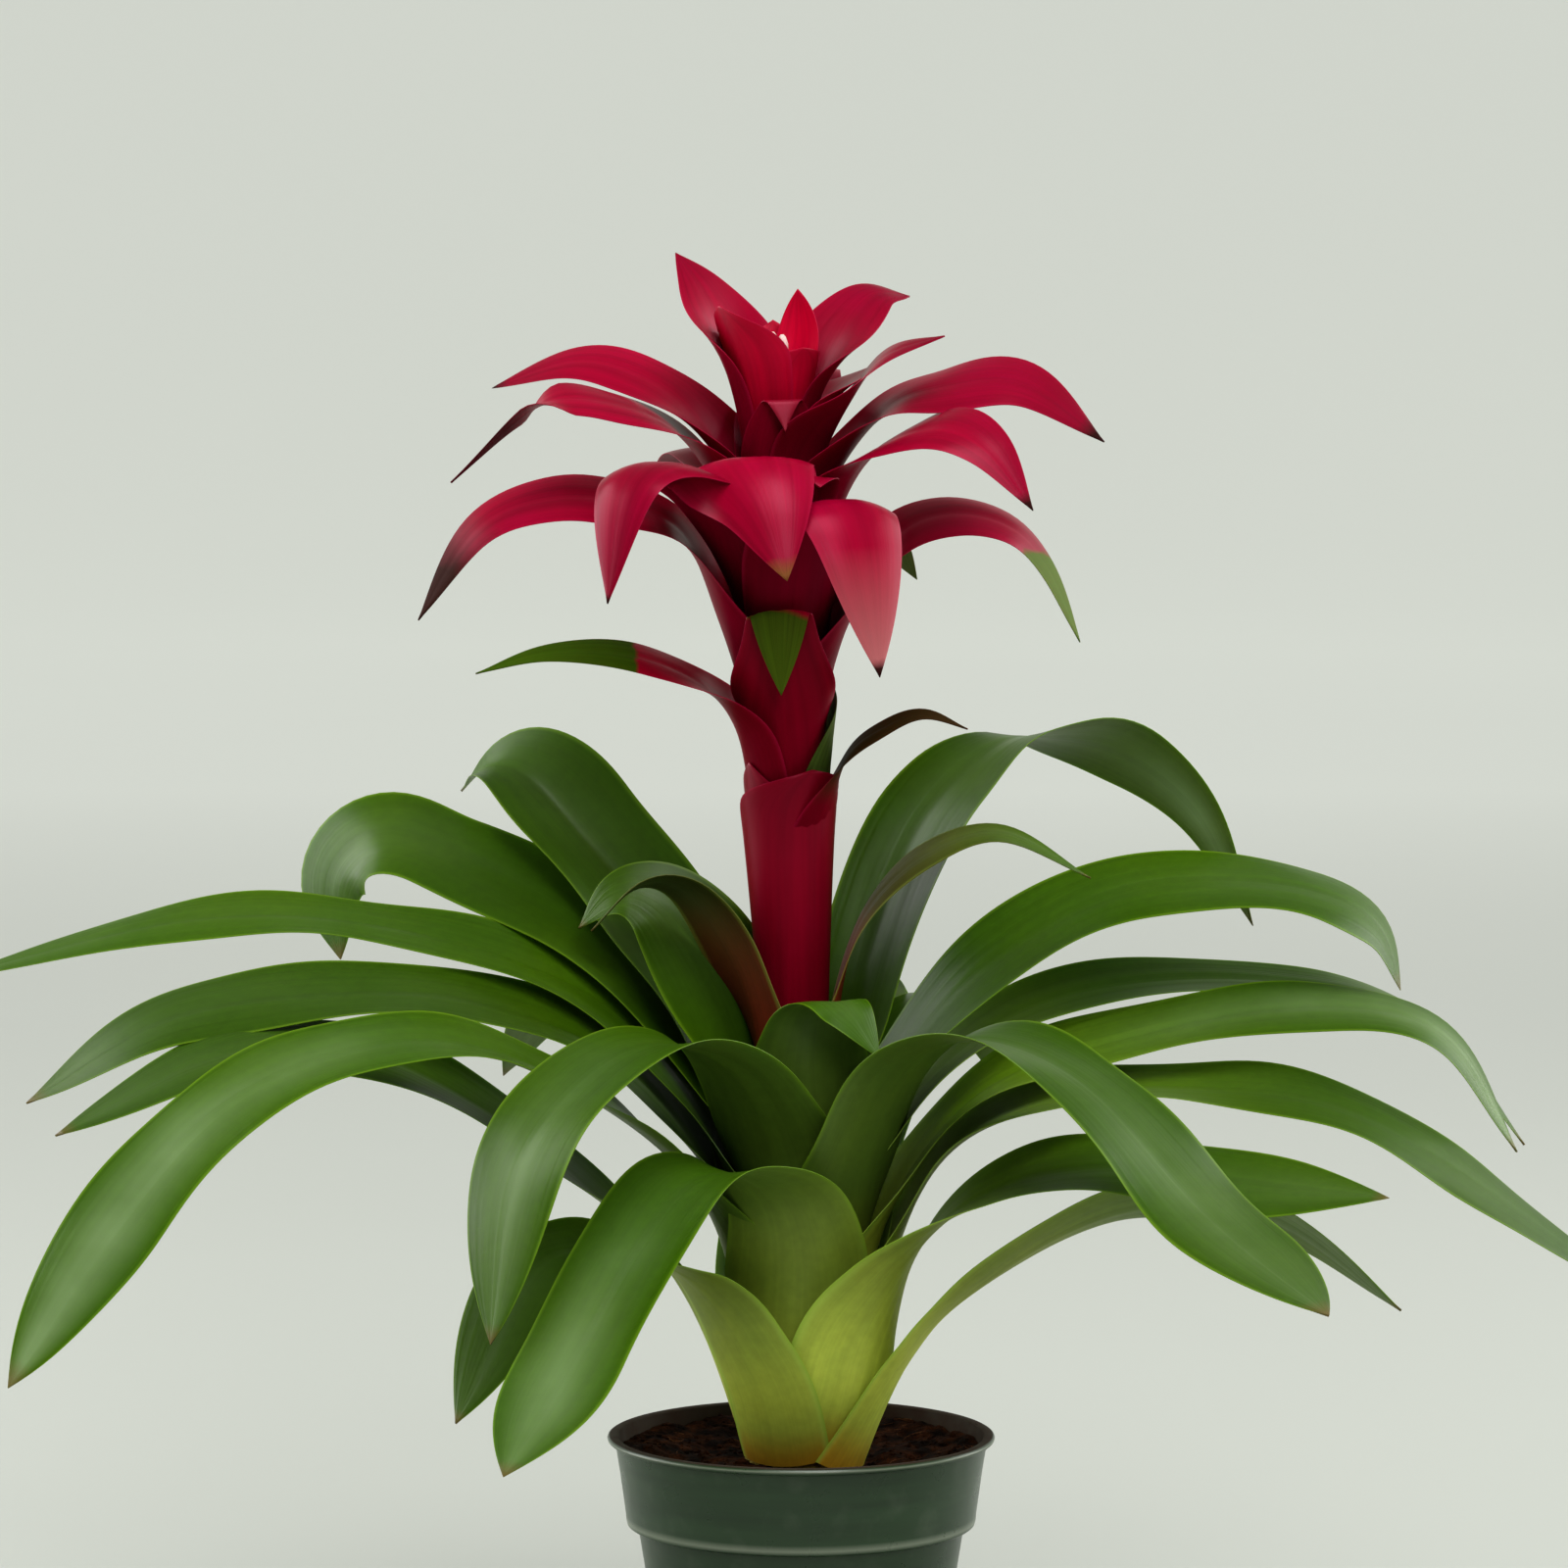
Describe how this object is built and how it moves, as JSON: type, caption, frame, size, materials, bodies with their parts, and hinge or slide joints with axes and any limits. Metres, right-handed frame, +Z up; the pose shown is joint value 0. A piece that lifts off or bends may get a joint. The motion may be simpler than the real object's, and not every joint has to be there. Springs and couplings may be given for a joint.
{
  "type": "potted bromeliad",
  "caption": "Potted bromeliad: arching green strap leaves round a leaning red flower spike wrapped in bracts, growing in soil in a tapered dark green nursery pot.",
  "frame": {"origin": "centre of the flat pad in the middle of the pot's underside, on the plane the pot stands on", "axes": "+Z up along the pot's axis, +X to the right and -Y towards the viewer, with the front of the plant towards -Y"},
  "size_m": [0.6608, 0.4064, 0.5887],
  "materials": {
    "pot_plastic": "dark green moulded plastic, half gloss",
    "soil": "moist dark brown peat with reddish fibres, matt",
    "crown": "pale yellow-brown stem tissue, matt",
    "leaf": "living leaf, waxy half gloss, paler yellow-green at the foot",
    "flower_stem": "crimson flower stem, satin",
    "scape_leaf": "living leaf, red-brown at the foot and olive green outwards, half gloss",
    "scape_bract": "crimson bract with a waxy satin surface",
    "flower_bract": "deep red bract with a waxy half gloss, dry or green at some tips",
    "cup_bract": "bright pinkish red bract, waxy half gloss",
    "petal": "white petals flushed pink, satin"
  },
  "bodies": {
    "root": {"pot": "pot_plastic", "soil": "soil", "crown": "crown", "leaf_01": "leaf", "leaf_02": "leaf", "leaf_03": "leaf", "leaf_04": "leaf", "leaf_05": "leaf", "leaf_06": "leaf", "leaf_07": "leaf", "leaf_08": "leaf", "leaf_09": "leaf", "leaf_10": "leaf", "leaf_11": "leaf", "leaf_12": "leaf", "leaf_13": "leaf", "leaf_14": "leaf", "leaf_15": "leaf", "leaf_16": "leaf", "leaf_17": "leaf", "leaf_18": "leaf", "leaf_19": "leaf", "leaf_20": "leaf", "leaf_21": "leaf", "leaf_22": "leaf", "leaf_23": "leaf", "flower_stem": "flower_stem", "scape_leaf_left": "scape_leaf", "scape_leaf_right": "scape_leaf", "scape_bract_1": "scape_bract", "scape_bract_2": "scape_bract", "scape_bract_3": "scape_bract", "scape_bract_4": "scape_bract", "scape_bract_5": "scape_bract", "scape_bract_6": "scape_bract", "scape_bract_7": "scape_bract", "flower_bract_01": "flower_bract", "flower_bract_02": "flower_bract", "flower_bract_03": "flower_bract", "flower_bract_04": "flower_bract", "flower_bract_05": "flower_bract", "flower_bract_06": "flower_bract", "flower_bract_07": "flower_bract", "flower_bract_08": "flower_bract", "flower_bract_09": "flower_bract", "flower_bract_10": "flower_bract", "flower_bract_11": "flower_bract", "flower_bract_12": "flower_bract", "flower_bract_13": "flower_bract", "flower_bract_14": "flower_bract", "flower_bract_15": "flower_bract", "flower_bract_16": "flower_bract", "flower_bract_17": "flower_bract", "flower_bract_18": "flower_bract", "cup_bract_left": "cup_bract", "cup_bract_right": "cup_bract", "cup_bract_back": "cup_bract", "inner_bract": "cup_bract", "floret_1": "petal", "floret_2": "petal"}
  },
  "joints": []
}
